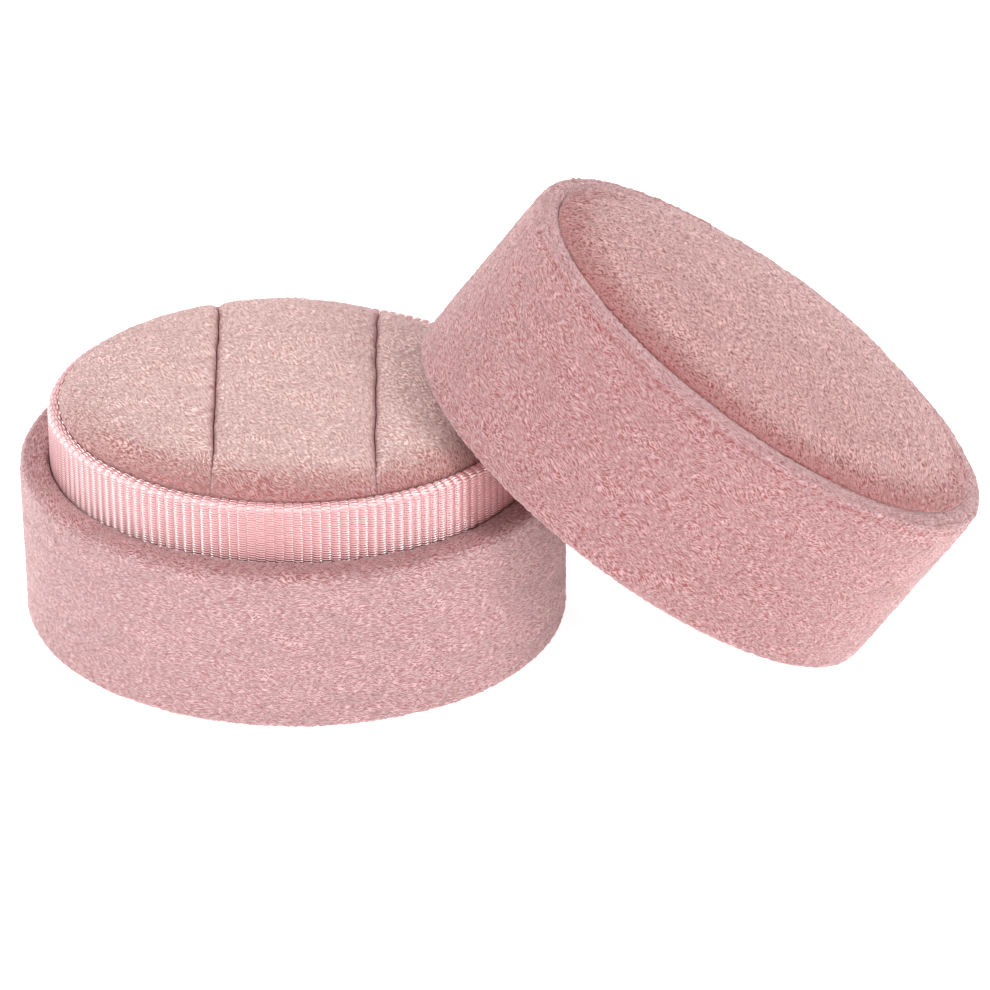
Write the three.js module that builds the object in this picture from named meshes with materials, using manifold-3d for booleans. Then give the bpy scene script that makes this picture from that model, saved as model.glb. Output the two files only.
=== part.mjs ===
// An oval ring box for two rings. The base holds a slotted ring pad inside a neck wrapped in ribbon,
// and the cushioned lid, which lifts off, leans on the base's right end with its rim on the table.
// Millimetres, +Z up, +X along the oval. The origin is the centre of the base's underside.
import * as THREE from "three";
import { mergeVertices } from "three/addons/utils/BufferGeometryUtils.js";
import Module from "manifold-3d";

const wasm = await Module();
wasm.setup();

// Outside sizes of the closed case, over the velvet.
const caseLength = 75;
const caseWidth = 55.4;
const baseHeight = 26.5;
const neckRise = 8.6;
const lidHeight = 28;

// Sheet and wall thicknesses, and the room left between pieces that touch.
const gap = 0.3;
const velvetThickness = 0.7;
const ribbonThickness = 0.35;
const coverThickness = 0.6;
const cardThickness = 1.5;
const boardThickness = 2;
const wallCoreThickness = 1.9;
const lidCoreThickness = 1.5;
const neckCoreThickness = 0.6;

// Turned edges: rounding, and how far the velvet or ribbon is turned in.
const velvetRound = 1.2;
const ribbonRound = 0.7;
const velvetTurnIn = 4;
const ribbonTurnIn = 4;
const ribbonTuck = 3.2;
const hemReach = 1.3;
const hemClearance = 0.1;

// Ring pad: how far its middle stands above the neck, and its two slots.
const padRise = 3.1;
const padEdgeDrop = 0.5;
const padDepth = 15.9;
const slotSpacing = 21.8;
const slotOffset = 0.6;
const slotSkew = THREE.MathUtils.degToRad(1.7);
const slotDepth = 10;
const slitWidth = 0.4;
const slitEndMargin = 1.2;
const tuckThickness = 0.6;

// Where the ribbon's end laps over its start, at the back of the neck.
const lapCentre = -2;
const lapWidth = 6;
const lapThickness = 0.4;

// Lid: the dome of the cushion, the depth of the hollow, and how the lid leans.
const cushionRise = 7.1;
const cushionEdgeDrop = 0.6;
const lidHollowDepth = 21;
const lidLean = THREE.MathUtils.degToRad(35.57);
const lidRoll = THREE.MathUtils.degToRad(-7.11);
const lidTurn = THREE.MathUtils.degToRad(-2.06);
const lidAlong = 47.86;
const lidAcross = -1.4;

// Where the oval layers stop keeping their distance from the outline, as a share of half its width.
const evenDepth = 0.6;

// Fineness of the curved faces.
const turnSteps = 60;
const cornerSteps = 3;
const domeSteps = 8;

const halfLength = caseLength / 2;
const halfWidth = caseWidth / 2;
const neckTop = baseHeight + neckRise;

const velvetPink = { color: 0xd3a9ab, roughness: 0.95 };
const padPink = { color: 0xdcb8b5, roughness: 0.95 };
const ribbonPink = { color: 0xf0c0c0, roughness: 0.45 };
const liningPink = { color: 0xd9b2b0, roughness: 0.95 };
const cardWhite = { color: 0xe6e0d6, roughness: 0.8 };
const foamCream = { color: 0xf2ede2, roughness: 0.9 };

// Makes a circle of radius halfLength - inset into an oval that lies that far inside the case's
// outline at both ends and both sides. Further in than the deepest inset, it only scales.
function ovalize(geometry) {
  const deepest = halfWidth * evenDepth;
  const position = geometry.getAttribute("position");
  for (let i = 0; i < position.count; i++) {
    const radius = Math.hypot(position.getX(i), position.getY(i));
    const inset = Math.min(halfLength - radius, deepest);
    position.setY(i, (position.getY(i) * (halfWidth - inset)) / (halfLength - inset));
  }
  return geometry;
}

// Turns a section about Z. Its points give the distance from the axis along the case, and the height.
function turned(section) {
  return ovalize(new THREE.LatheGeometry(section, turnSteps).rotateX(Math.PI / 2));
}

// A quarter turn of a section's corner, anticlockwise about its centre, or the corner itself.
function corner(x, z, radius, from) {
  const steps = radius > 0 ? cornerSteps : 0;
  return Array.from({ length: steps + 1 }, (_, i) => {
    const angle = from + (steps ? i / steps : 0) * (Math.PI / 2);
    return new THREE.Vector2(x + radius * Math.cos(angle), z + radius * Math.sin(angle));
  });
}

// An oval band between two insets and two heights, with its four edges rounded.
function band(outer, inner, bottom, top, round = 0) {
  const right = halfLength - outer - round;
  const left = halfLength - inner + round;
  const section = [
    ...corner(left, bottom + round, round, Math.PI),
    ...corner(right, bottom + round, round, -Math.PI / 2),
    ...corner(right, top - round, round, 0),
    ...corner(left, top - round, round, Math.PI / 2),
  ];
  return turned([...section, section[0].clone()]);
}

// An oval board.
function board(inset, bottom, thickness) {
  const edge = halfLength - inset;
  const top = bottom + thickness;
  return turned([
    new THREE.Vector2(0, bottom),
    new THREE.Vector2(edge, bottom),
    new THREE.Vector2(edge, top),
    new THREE.Vector2(0, top),
  ]);
}

// An oval block with an upright side up to its edge height, and a domed top that rises over it.
function domedBlock(inset, bottom, edgeHeight, rise, flatness) {
  const edge = halfLength - inset;
  const section = [new THREE.Vector2(0, bottom), new THREE.Vector2(edge, bottom)];
  for (let i = 0; i <= domeSteps; i++) {
    const along = i === domeSteps ? 0 : Math.cos((i / domeSteps) * (Math.PI / 2));
    const height = edgeHeight + rise * Math.sqrt(1 - along ** flatness);
    section.push(new THREE.Vector2(edge * along, height));
  }
  return turned(section);
}

// A closed geometry as a manifold-3d solid.
function solidOf(geometry) {
  geometry.deleteAttribute("normal");
  geometry.deleteAttribute("uv");
  const merged = mergeVertices(geometry);
  const vertProperties = new Float32Array(merged.getAttribute("position").array);
  const triVerts = new Uint32Array(merged.index.array);
  return new wasm.Manifold(new wasm.Mesh({ numProp: 3, vertProperties, triVerts }));
}

// A manifold-3d solid as a geometry.
function geometryOf(solid) {
  const { vertProperties, triVerts } = solid.getMesh();
  const geometry = new THREE.BufferGeometry();
  geometry.setAttribute("position", new THREE.BufferAttribute(vertProperties, 3));
  geometry.setIndex(new THREE.BufferAttribute(triVerts, 1));
  const faces = geometry.toNonIndexed();
  faces.computeVertexNormals();
  return faces;
}

// The first geometry with the rest cut out of it.
function cut(geometry, ...tools) {
  const left = tools.reduce((solid, tool) => solid.subtract(solidOf(tool)), solidOf(geometry));
  return geometryOf(left);
}

function piece(name, geometry, look) {
  const mesh = new THREE.Mesh(geometry, new THREE.MeshStandardMaterial({ metalness: 0, ...look }));
  mesh.name = name;
  return mesh;
}

// A thin upright slab across the pad at each ring slot.
function slotSlabs(width, bottom, top, length) {
  return [-1, 1].map((side) =>
    new THREE.BoxGeometry(width, length, top - bottom)
      .translate(slotOffset + (side * slotSpacing) / 2, 0, (bottom + top) / 2)
      .rotateZ(slotSkew),
  );
}

// Insets of the layers of the base, from the outside in.
const wallCoreInset = velvetThickness + gap;
const ledgeLegInset = wallCoreInset + wallCoreThickness + gap;
const ribbonInset = ledgeLegInset + velvetThickness + gap;
const neckCoreInset = ribbonInset + ribbonThickness + gap;
const ribbonLegInset = neckCoreInset + neckCoreThickness + gap;
const padInset = ribbonLegInset + ribbonThickness + gap;
const padFoamInset = padInset + velvetThickness + gap;

// The velvet outside of the base: it is glued under the bottom edge and turned in over the ledge.
function baseWallVelvet() {
  const legInner = ledgeLegInset + velvetThickness;
  return cut(
    band(0, legInner, hemClearance, baseHeight, velvetRound),
    band(velvetThickness, ledgeLegInset, velvetThickness, baseHeight - velvetThickness),
    band(hemReach, legInner + gap, -gap, baseHeight - velvetTurnIn),
  );
}

// The base's shell, thick below and thin above, where the velvet and the ribbon are tucked in.
function baseWallCore() {
  const bottom = coverThickness + gap;
  const top = baseHeight - velvetThickness - gap;
  const tuckFloor = baseHeight - velvetTurnIn - gap;
  const inner = neckCoreInset - gap;
  return cut(
    band(wallCoreInset, inner, bottom, top),
    band(ledgeLegInset - gap, inner + gap, tuckFloor, baseHeight),
  );
}

// The ribbon round the neck: down behind the ledge outside, over the neck's edge, and turned in.
// Its end laps over its start at the back.
function neckRibbon() {
  const bottom = baseHeight - ribbonTuck;
  const legInner = ribbonLegInset + ribbonThickness;
  const wrapped = cut(
    band(ribbonInset, legInner, bottom, neckTop, ribbonRound),
    band(neckCoreInset - gap, ribbonLegInset, bottom - gap, neckTop - ribbonThickness),
    band(neckCoreInset, legInner + gap, bottom - gap, neckTop - ribbonTurnIn),
  );
  const lapBottom = baseHeight + gap;
  const lapBand = cut(
    band(ribbonInset - lapThickness, legInner, lapBottom, neckTop + lapThickness, ribbonRound),
    band(neckCoreInset - gap, legInner + gap, lapBottom - gap, neckTop - ribbonThickness),
  );
  const slab = new THREE.BoxGeometry(lapWidth, caseWidth, caseLength);
  slab.translate(lapCentre, caseWidth / 2, neckTop);
  const lap = solidOf(lapBand).intersect(solidOf(slab));
  return geometryOf(solidOf(wrapped).add(lap));
}

const padBottom = neckTop + padRise - padDepth - cardThickness;
const padEdge = neckTop - padEdgeDrop;
const padFlatness = 8;

// Three blocks of foam with the two ring slots between them, in order along the case.
function padFoamBlocks() {
  const bottom = padBottom + cardThickness + gap;
  const under = velvetThickness + gap;
  const dome = domedBlock(padFoamInset, bottom, padEdge - under, padEdgeDrop + padRise, padFlatness);
  const width = slitWidth + 2 * (tuckThickness + gap);
  const slots = slotSlabs(width, 0, caseLength, caseLength);
  const blocks = slots.reduce((solid, slab) => solid.subtract(solidOf(slab)), solidOf(dome));
  const leftEdge = (block) => block.boundingBox().min[0];
  return blocks
    .decompose()
    .sort((one, other) => leftEdge(one) - leftEdge(other))
    .map(geometryOf);
}

// The velvet over the foam: a domed skin with a skirt, tucked down into both slots.
function padVelvet() {
  const dome = (inset, under) =>
    domedBlock(inset, padBottom - under, padEdge - under, padEdgeDrop + padRise, padFlatness);
  const skin = solidOf(cut(dome(padInset, 0), dome(padInset + velvetThickness, velvetThickness)));
  const tuckBottom = neckTop + padRise - slotDepth;
  const tuckWidth = slitWidth + 2 * tuckThickness;
  const insideSkin = solidOf(dome(padFoamInset - gap - velvetThickness / 2, 0));
  const tucks = slotSlabs(tuckWidth, tuckBottom, caseLength, caseLength).map((slab) =>
    solidOf(slab).intersect(insideSkin),
  );
  const slitLength = 2 * (halfWidth - padInset - slitEndMargin);
  const slits = slotSlabs(slitWidth, tuckBottom + tuckThickness, caseLength, slitLength);
  const closed = tucks.reduce((solid, tuck) => solid.add(tuck), skin);
  return geometryOf(slits.reduce((solid, slit) => solid.subtract(solidOf(slit)), closed));
}

function buildBase() {
  const base = new THREE.Group();
  const floorBottom = coverThickness + gap;
  const neckCoreBottom = floorBottom + boardThickness + gap;
  const neckCoreTop = neckTop - ribbonThickness - gap;
  const neckCoreInner = neckCoreInset + neckCoreThickness;
  const riserHeight = padBottom - gap - neckCoreBottom;
  base.add(
    piece("base_bottom_cover", board(hemReach + gap, 0, coverThickness), velvetPink),
    piece("base_floor_board", board(neckCoreInset, floorBottom, boardThickness), cardWhite),
    piece("base_wall_core", baseWallCore(), cardWhite),
    piece("base_wall_velvet", baseWallVelvet(), velvetPink),
    piece(
      "neck_band_core",
      band(neckCoreInset, neckCoreInner, neckCoreBottom, neckCoreTop),
      cardWhite,
    ),
    piece("neck_ribbon", neckRibbon(), ribbonPink),
    piece(
      "pad_riser_block",
      board(neckCoreInner + gap, neckCoreBottom, riserHeight),
      foamCream,
    ),
    piece("pad_support_card", board(padFoamInset, padBottom, cardThickness), cardWhite),
    piece("ring_pad_velvet", padVelvet(), padPink),
  );
  const [left, middle, right] = padFoamBlocks();
  base.add(
    piece("ring_pad_foam_left", left, foamCream),
    piece("ring_pad_foam_middle", middle, foamCream),
    piece("ring_pad_foam_right", right, foamCream),
  );
  return base;
}

// Insets of the layers of the lid, and its levels from the opening up.
const lidCoreInset = velvetThickness + gap;
const lidLegInset = lidCoreInset + lidCoreThickness + gap;
const lidWallWidth = lidLegInset + velvetThickness;
const cushionInset = lidWallWidth + gap;
const cushionFoamInset = cushionInset + velvetThickness + gap;
const ceilingBottom = lidHollowDepth;
const lidBoardBottom = ceilingBottom + coverThickness + gap;
const cushionBottom = lidBoardBottom + cardThickness + gap;
const cushionEdge = lidHeight - cushionEdgeDrop;
const cushionFlatness = 2.5;

// The velvet outside of the lid, turned in at the opening and over the rim round the cushion.
function lidWallVelvet() {
  return cut(
    band(0, lidWallWidth, 0, lidHeight, velvetRound),
    band(velvetThickness, lidLegInset, velvetThickness, lidHeight - velvetThickness),
    band(lidLegInset - gap, lidWallWidth + gap, velvetTurnIn, cushionBottom + gap),
  );
}

// The velvet skin of the cushion, glued round the edge of its card.
function cushionVelvet() {
  const dome = (inset, under) =>
    domedBlock(inset, cushionBottom - under, cushionEdge - under, cushionRise, cushionFlatness);
  return cut(dome(cushionInset, 0), dome(cushionInset + velvetThickness, velvetThickness));
}

function cushionFoam() {
  const bottom = cushionBottom + cardThickness + gap;
  const edge = cushionEdge - velvetThickness - gap;
  return domedBlock(cushionFoamInset, bottom, edge, cushionRise, cushionFlatness);
}

function buildLid() {
  const lid = new THREE.Group();
  const coreTop = lidHeight - velvetThickness - gap;
  const coreInner = lidCoreInset + lidCoreThickness;
  const liningBottom = velvetTurnIn + gap;
  const liningInner = lidLegInset + coverThickness;
  lid.add(
    piece("lid_wall_core", band(lidCoreInset, coreInner, lidCoreInset, coreTop), cardWhite),
    piece("lid_wall_velvet", lidWallVelvet(), velvetPink),
    piece(
      "lid_lining_wall",
      band(lidLegInset, liningInner, liningBottom, ceilingBottom - gap),
      liningPink,
    ),
    piece("lid_lining_top", board(lidLegInset, ceilingBottom, coverThickness), liningPink),
    piece("lid_top_board", board(lidLegInset, lidBoardBottom, cardThickness), cardWhite),
    piece("lid_cushion_card", board(cushionFoamInset, cushionBottom, cardThickness), cardWhite),
    piece("lid_cushion_foam", cushionFoam(), foamCream),
    piece("lid_cushion_velvet", cushionVelvet(), padPink),
  );
  lid.rotation.set(lidRoll, lidLean, lidTurn);
  lid.position.set(lidAlong, lidAcross, 0);
  lid.position.z = -new THREE.Box3().setFromObject(lid, true).min.z;
  return lid;
}

const ringBox = new THREE.Group();
ringBox.add(buildBase(), buildLid());

export default ringBox;
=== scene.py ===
"""The looks of an oval velvet ring box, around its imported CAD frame.

The base stands upright, and the loose lid leans on its right end. Every soft CAD solid is replaced
by a finer piece, and the boards and cores inside keep their CAD shape with a card material.
Shapes are worked out in millimetres, in the base's frame or the lid's own, and made in metres.
"""

import itertools
import math

import bpy
import numpy as np
from mathutils import Matrix, Vector
from mathutils.bvhtree import BVHTree


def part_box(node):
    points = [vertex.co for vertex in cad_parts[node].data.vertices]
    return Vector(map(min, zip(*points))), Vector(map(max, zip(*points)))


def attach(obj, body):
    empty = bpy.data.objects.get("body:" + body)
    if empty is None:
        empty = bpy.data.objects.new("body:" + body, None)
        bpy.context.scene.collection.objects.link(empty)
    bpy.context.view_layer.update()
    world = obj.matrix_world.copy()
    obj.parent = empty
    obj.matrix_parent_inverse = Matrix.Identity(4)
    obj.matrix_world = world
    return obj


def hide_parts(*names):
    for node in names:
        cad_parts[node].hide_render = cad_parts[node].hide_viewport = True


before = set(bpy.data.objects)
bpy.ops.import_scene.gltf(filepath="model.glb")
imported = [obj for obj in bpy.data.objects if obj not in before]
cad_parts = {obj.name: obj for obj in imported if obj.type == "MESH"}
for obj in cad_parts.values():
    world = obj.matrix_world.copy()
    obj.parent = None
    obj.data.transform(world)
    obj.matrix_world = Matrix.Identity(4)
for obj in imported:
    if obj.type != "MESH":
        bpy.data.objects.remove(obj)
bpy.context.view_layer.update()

MM = 0.001


def across(node):
    """Half of a node's length and width."""
    low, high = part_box(node)
    return (high - low).x / 2 / MM, (high - low).y / 2 / MM


def levels(node):
    """The heights of a node's bottom and top."""
    low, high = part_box(node)
    return low.z / MM, high.z / MM


# How far the soft pads spread into the gaps around them.
SPREAD = 0.27

# The case's outline, its levels, and how far inside the outline each layer lies.
HALF_LENGTH, HALF_WIDTH = across("base_wall_velvet")
HEM_LEVEL, LEDGE_LEVEL = levels("base_wall_velvet")
COVER_TOP = levels("base_bottom_cover")[1]
RIBBON_FOOT = levels("neck_ribbon")[0]
CARD_TOP = levels("pad_support_card")[1]
PAD_BOTTOM, PAD_TOP = levels("ring_pad_velvet")
RISER_BOTTOM, RISER_TOP = levels("pad_riser_block")
COVER_INSET = HALF_LENGTH - across("base_bottom_cover")[0]
RIBBON_INSET = HALF_LENGTH - across("neck_ribbon")[0]
PAD_INSET = HALF_LENGTH - across("ring_pad_velvet")[0] - SPREAD
RISER_INSET = HALF_LENGTH - across("pad_riser_block")[0]

# Sheet and card thicknesses, turned edges and the room between pieces.
VELVET = 0.7
RIBBON = 0.35
LINING = 0.6
GAP = 0.3
VELVET_ROUND = 1.5
RIBBON_ROUND = 0.9
TURN_IN = 4.0
HEM_REACH = 1.3
LEDGE_LEG = 3.2
RIBBON_TOP = levels("neck_band_core")[1] + RIBBON + GAP
LIP_WIDTH = 1.9
CARD = 1.5

# How far along each wall's section it reaches the edge at its top.
BASE_WALL_RUN = HEM_REACH + LEDGE_LEVEL - HEM_LEVEL
LID_WALL_RUN = 34.3

# The neck ribbon's weave: ribs across it, each a few columns of the mesh, and threads that cross them.
RIBS = 144
RIB_PITCH = 1.27
RIB_COLUMNS = 10
RIB_HEIGHT = 0.16
RIB_FOOT = -0.04
THREAD_PITCH = 0.4
LAP_CENTRE = -2.0
LAP_WIDTH = 6.0

# The ring pad and its two slots.
PAD_EDGE_DROP = 0.5
PAD_OVERHANG = 0.8
PAD_CROWN_FLATNESS = 11
PAD_PUFF = 0.9
SLOT_SPACING = 21.8
SLOT_OFFSET = 0.6
SLOT_SKEW = math.radians(1.7)
SLOT_DEPTH = 10.0
SLIT_HALF_WIDTH = 0.06
SLIT_END_MARGIN = 1.6

# Lines along each side of a slit: how far out each lies in slit half widths, and how deep it goes.
SLIT_LINES = [(0.6, 1.0), (1.0, 0.12), (1.2, 0.01), (2.2, 0.0)]
SLIT_EDGE = SLIT_LINES[-1][0]

# The lid in its own frame, with its opening at height 0.
LID_HEIGHT = 28.0
LID_LEG = 2.8
LID_LEAN = math.radians(35.57)
LID_ROLL = math.radians(-7.11)
LID_TURN = math.radians(-2.06)
CEILING_LEVEL = 21.0
CUSHION_BOTTOM = 23.7
CUSHION_EDGE = 27.4
CUSHION_RISE = 7.1
CUSHION_INSET = 3.8 - SPREAD
CUSHION_OVERHANG = 0.9

# How far above the table's surface every point stays.
TABLE_CLEARANCE = 0.01

# Mesh fineness: walls, ribbon, pads and the pads' sides.
FINE = 1.0
WALL_STEP = 0.29 * FINE
LID_WALL_STEP = WALL_STEP * 1.08
RIBBON_STEP = 0.28
LINING_STEP = 0.5 * FINE
PAD_STEP = 0.2 * FINE
SIDE_STEP = 0.8

# The cloth simulation: its size against life, its mesh, its frames and the pressure inside.
SIM_SCALE = 10.0
SIM_VOXEL = 0.0075
SIM_FRAMES = 20
SIM_PRESSURE = 4.0


# ---------------------------------------------------------------- noise


def noise(points, seed=0):
    """Smooth noise, about -1 to 1, at each point of an array (..., 3)."""
    cell = np.floor(points).astype(np.int64)
    part = points - cell
    ease = part * part * part * (part * (part * 6 - 15) + 10)
    total = np.zeros(points.shape[:-1])
    for step in itertools.product((0, 1), repeat=3):
        at = (cell + np.array(step)).astype(np.uint64)
        key = at[..., 0] * np.uint64(73856093) ^ at[..., 1] * np.uint64(19349663)
        key = key ^ at[..., 2] * np.uint64(83492791) ^ np.uint64(seed * 2654435761 + 97)
        key = (key ^ (key >> np.uint64(15))) * np.uint64(2246822519)
        key = (key ^ (key >> np.uint64(13))) * np.uint64(3266489917)
        key = key ^ (key >> np.uint64(16))
        away = part - np.array(step)
        rise = 0
        for axis, shift in enumerate((8, 18, 28)):
            slope = ((key >> np.uint64(shift)) & np.uint64(1023)).astype(float) / 511.5 - 1
            rise = rise + slope * away[..., axis]
        total += rise * np.prod(np.where(np.array(step) == 1, ease, 1 - ease), axis=-1)
    return total * 1.6


def tufts(points, width, seed=0):
    """The height of a short pile's tufts, from 0 between them to 1 at their tips."""
    at = np.asarray(points) / width
    bend = np.stack([noise(at * 0.55, seed + axis) for axis in (11, 12, 13)], axis=-1)
    bent = at + 0.7 * bend
    coarse = 1 - 2.2 * np.abs(noise(bent, seed + 1))
    fine = 1 - 2.2 * np.abs(noise(bent * 2.1, seed + 2))
    return np.clip(0.5 + 0.42 * coarse + 0.25 * fine - 0.25, 0, 1)


def smooth(low, high, value):
    """0 below low, 1 above high, and a smooth step between."""
    t = np.clip((value - low) / (high - low), 0, 1)
    return t * t * (3 - 2 * t)


# ---------------------------------------------------------------- meshes


def outline(inset, angle):
    """Points on the oval that lies that far inside the case's outline."""
    return (HALF_LENGTH - inset) * np.cos(angle), (HALF_WIDTH - inset) * np.sin(angle)


def share_out(x, y, inset):
    """How far out points lie, as a share of the way to the oval that far inside the outline."""
    return np.hypot(x / (HALF_LENGTH - inset), y / (HALF_WIDTH - inset))


def even_angles(count):
    """Angles round the case, evenly spaced along its outline, starting at the back."""
    fine = np.linspace(0, 2 * np.pi, 4001) + np.pi / 2
    x, y = outline(0, fine)
    run = np.concatenate([[0], np.cumsum(np.hypot(np.diff(x), np.diff(y)))])
    return np.interp(np.linspace(0, run[-1], count, endpoint=False), run, fine)


def perimeter(inset):
    x, y = outline(inset, np.linspace(0, 2 * np.pi, 721))
    return float(np.hypot(np.diff(x), np.diff(y)).sum())


def rounded(corners, step):
    """A line through (inset, height, rounding) corners, with a point about every step."""
    points = [np.array(corners[0][:2], float)]
    for before, here, after in zip(corners, corners[1:], corners[2:]):
        centre = np.array(here[:2], float)
        ends = [np.array(other[:2], float) - centre for other in (before, after)]
        start, end = [centre + way / np.linalg.norm(way) * here[2] for way in ends]
        for t in np.linspace(0, 1, 9):
            points.append((1 - t) ** 2 * start + 2 * t * (1 - t) * centre + t * t * end)
    points.append(np.array(corners[-1][:2], float))
    points = np.array(points)
    run = np.concatenate([[0], np.cumsum(np.linalg.norm(np.diff(points, axis=0), axis=1))])
    at = np.linspace(0, run[-1], max(round(run[-1] / step), 2) + 1)
    return np.stack([np.interp(at, run, points[:, axis]) for axis in (0, 1)], axis=1)


def grid_faces(rows, columns, round_rows=False, round_columns=False):
    """The quads of a grid of vertices that is stored row by row."""
    row = np.arange(rows if round_rows else rows - 1)[:, None]
    column = np.arange(columns if round_columns else columns - 1)[None, :]
    next_row = (row + 1) % rows * columns
    next_column = (column + 1) % columns
    here = row * columns
    quads = [here + column, next_row + column, next_row + next_column, here + next_column]
    return np.stack(quads, axis=-1).reshape(-1, 4)


def signed_volume(points, faces):
    """Six times the volume between the origin and faces that all have the same number of sides."""
    total = 0
    for side in range(1, faces.shape[1] - 1):
        second, third = points[faces[:, side]], points[faces[:, side + 1]]
        total += np.einsum("ij,ij->", points[faces[:, 0]], np.cross(second, third))
    return total


def new_piece(name, points, face_groups, place=None, values=None):
    """A smooth mesh object of a closed surface whose faces point out, with its pile flat on the table.

    place moves the points from the lid's frame to the base's. values are named numbers, one for each
    point, that the materials read.
    """
    if place is not None:
        points = points @ np.array(place.to_3x3()).T + np.array(place.translation) / MM
    points[:, 2] = np.maximum(points[:, 2], TABLE_CLEARANCE)
    volume = sum(signed_volume(points, faces) for faces in face_groups)
    turn = 1 if volume > 0 else -1
    faces = [face for group in face_groups for face in group[:, ::turn].tolist()]
    mesh = bpy.data.meshes.new(name)
    mesh.from_pydata((points * MM).tolist(), [], faces)
    mesh.polygons.foreach_set("use_smooth", [True] * len(mesh.polygons))
    for label, value in (values or {}).items():
        attribute = mesh.attributes.new(label, "FLOAT", "POINT")
        attribute.data.foreach_set("value", np.ravel(value).astype(np.float32))
    mesh.update()
    made = bpy.data.objects.new(name, mesh)
    bpy.context.scene.collection.objects.link(made)
    return made


def swept(name, shown, hidden, columns, relief, place=None, span=None):
    """A closed sheet carried round the oval, from the sections of its shown and hidden sides.

    A section runs up the outside and inwards over the top. relief(angle, run, points) gives how far
    each point stands out and the named values there, where run is the distance along the section.
    span is the first and last angle of a sheet that doesn't go all the way round.
    """
    section = np.vstack([shown, hidden])
    angle = even_angles(columns)[:, None] if span is None else np.linspace(*span, columns)[:, None]
    x, y = outline(section[None, :, 0], angle)
    points = np.stack([x, y, np.broadcast_to(section[:, 1], x.shape)], axis=-1)
    along = np.gradient(shown, axis=0)
    along /= np.linalg.norm(along, axis=1)[:, None]
    outward = np.stack([np.cos(angle) / HALF_LENGTH, np.sin(angle) / HALF_WIDTH], axis=-1)
    outward /= np.linalg.norm(outward, axis=-1)[..., None]
    normal = np.zeros((columns, len(shown), 3))
    normal[..., :2] = outward * along[None, :, 1, None]
    normal[..., 2] = along[None, :, 0]
    run = np.concatenate([[0], np.cumsum(np.linalg.norm(np.diff(shown, axis=0), axis=1))])
    lift, values = relief(angle, run[None, :], points[:, : len(shown)])
    fade = smooth(0, 0.8, run) * smooth(0, 0.8, run[-1] - run)
    points[:, : len(shown)] += normal * (lift * fade)[..., None]
    around = perimeter(0) * np.arange(columns)[:, None] / columns
    values = {"along": around, "run": run[None, :], **values}
    full = {}
    for label, value in values.items():
        full[label] = np.zeros(x.shape)
        full[label][:, : len(shown)] = value
        full[label][:, len(shown) :] = full[label][:, len(shown) - 1 : len(shown)]
    groups = [grid_faces(columns, len(section), span is None, True)]
    if span is not None:
        first = np.arange(len(section))
        groups.append(np.stack([first, (first + (columns - 1) * len(section))[::-1]]))
    return new_piece(name, points.reshape(-1, 3), groups, place, full)


def chord(along, inset, skew):
    """Where a line across the oval starts and ends, measured from the line's middle point.

    The line is turned by skew from the case's width, and passes that far along the turned length.
    """
    length, width = HALF_LENGTH - inset, HALF_WIDTH - inset
    sine, cosine = math.sin(skew), math.cos(skew)
    a = (sine / length) ** 2 + (cosine / width) ** 2
    b = 2 * along * sine * cosine * (1 / width**2 - 1 / length**2)
    c = along**2 * ((cosine / length) ** 2 + (sine / width) ** 2) - 1
    root = np.sqrt(np.maximum(b * b - 4 * a * c, 0))
    return (-b - root) / (2 * a), (-b + root) / (2 * a)


def eased(count):
    """Evenly spread numbers from -1 to 1, a little closer together near the ends."""
    even = np.linspace(-1, 1, count)
    return 0.8 * even + 0.2 * np.sin(even * np.pi / 2)


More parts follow.
